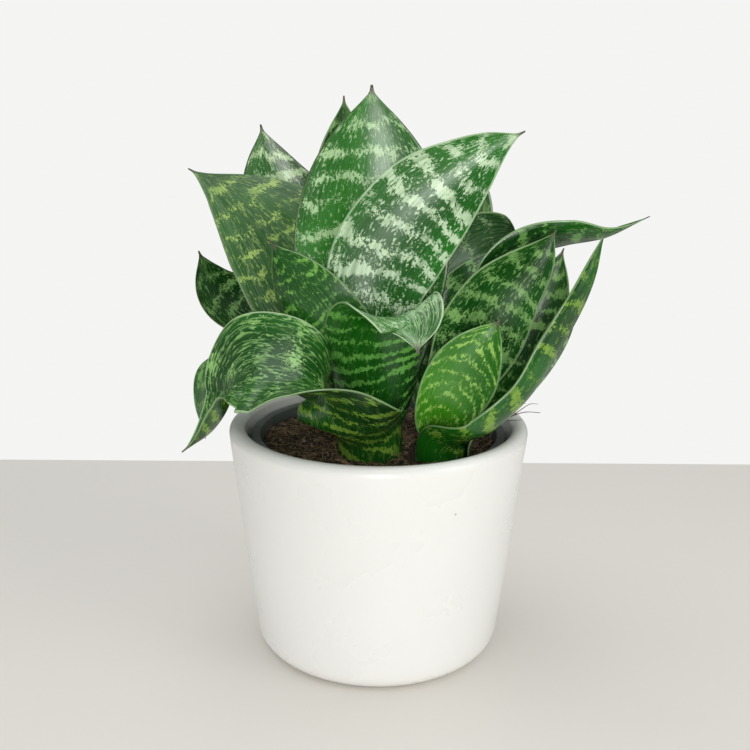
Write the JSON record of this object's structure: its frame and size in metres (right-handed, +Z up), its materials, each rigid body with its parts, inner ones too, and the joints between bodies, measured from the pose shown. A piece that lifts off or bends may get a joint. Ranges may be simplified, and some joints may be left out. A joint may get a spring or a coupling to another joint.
{
  "type": "potted snake plant",
  "caption": "Bird's nest snake plant with broad cross-banded leaves in rosettes, in a plastic nursery pot inside a white glazed ceramic planter.",
  "frame": {"origin": "centre of the planter's foot, on the surface it stands on", "axes": "+Z up out of the pot, -Y the side seen in front view, +X to the right of it"},
  "size_m": [0.2033, 0.1484, 0.2595],
  "materials": {
    "planter_glaze": "satin white glaze",
    "crown": "rough plant stem",
    "leaf_green": "waxy, dark green with pale cross bands",
    "nursery_plastic": "matte grey-blue plastic",
    "soil": "moist dark peat and coir"
  },
  "bodies": {
    "root": {"ceramic_planter": "planter_glaze", "crown_back": "crown", "crown_main": "crown", "crown_right": "crown", "leaf_back_drooping": "leaf_green", "leaf_back_left": "leaf_green", "leaf_back_low": "leaf_green", "leaf_back_rear": "leaf_green", "leaf_back_right": "leaf_green", "leaf_main_arching": "leaf_green", "leaf_main_front": "leaf_green", "leaf_main_inner": "leaf_green", "leaf_main_left": "leaf_green", "leaf_main_tall": "leaf_green", "leaf_main_tilted": "leaf_green", "leaf_right_dark": "leaf_green", "leaf_right_glossy": "leaf_green", "leaf_right_long": "leaf_green", "leaf_right_mottled": "leaf_green", "leaf_right_outer": "leaf_green", "leaf_right_wrapping": "leaf_green", "leaf_right_young": "leaf_green", "nursery_pot": "nursery_plastic", "potting_soil": "soil"}
  },
  "joints": []
}
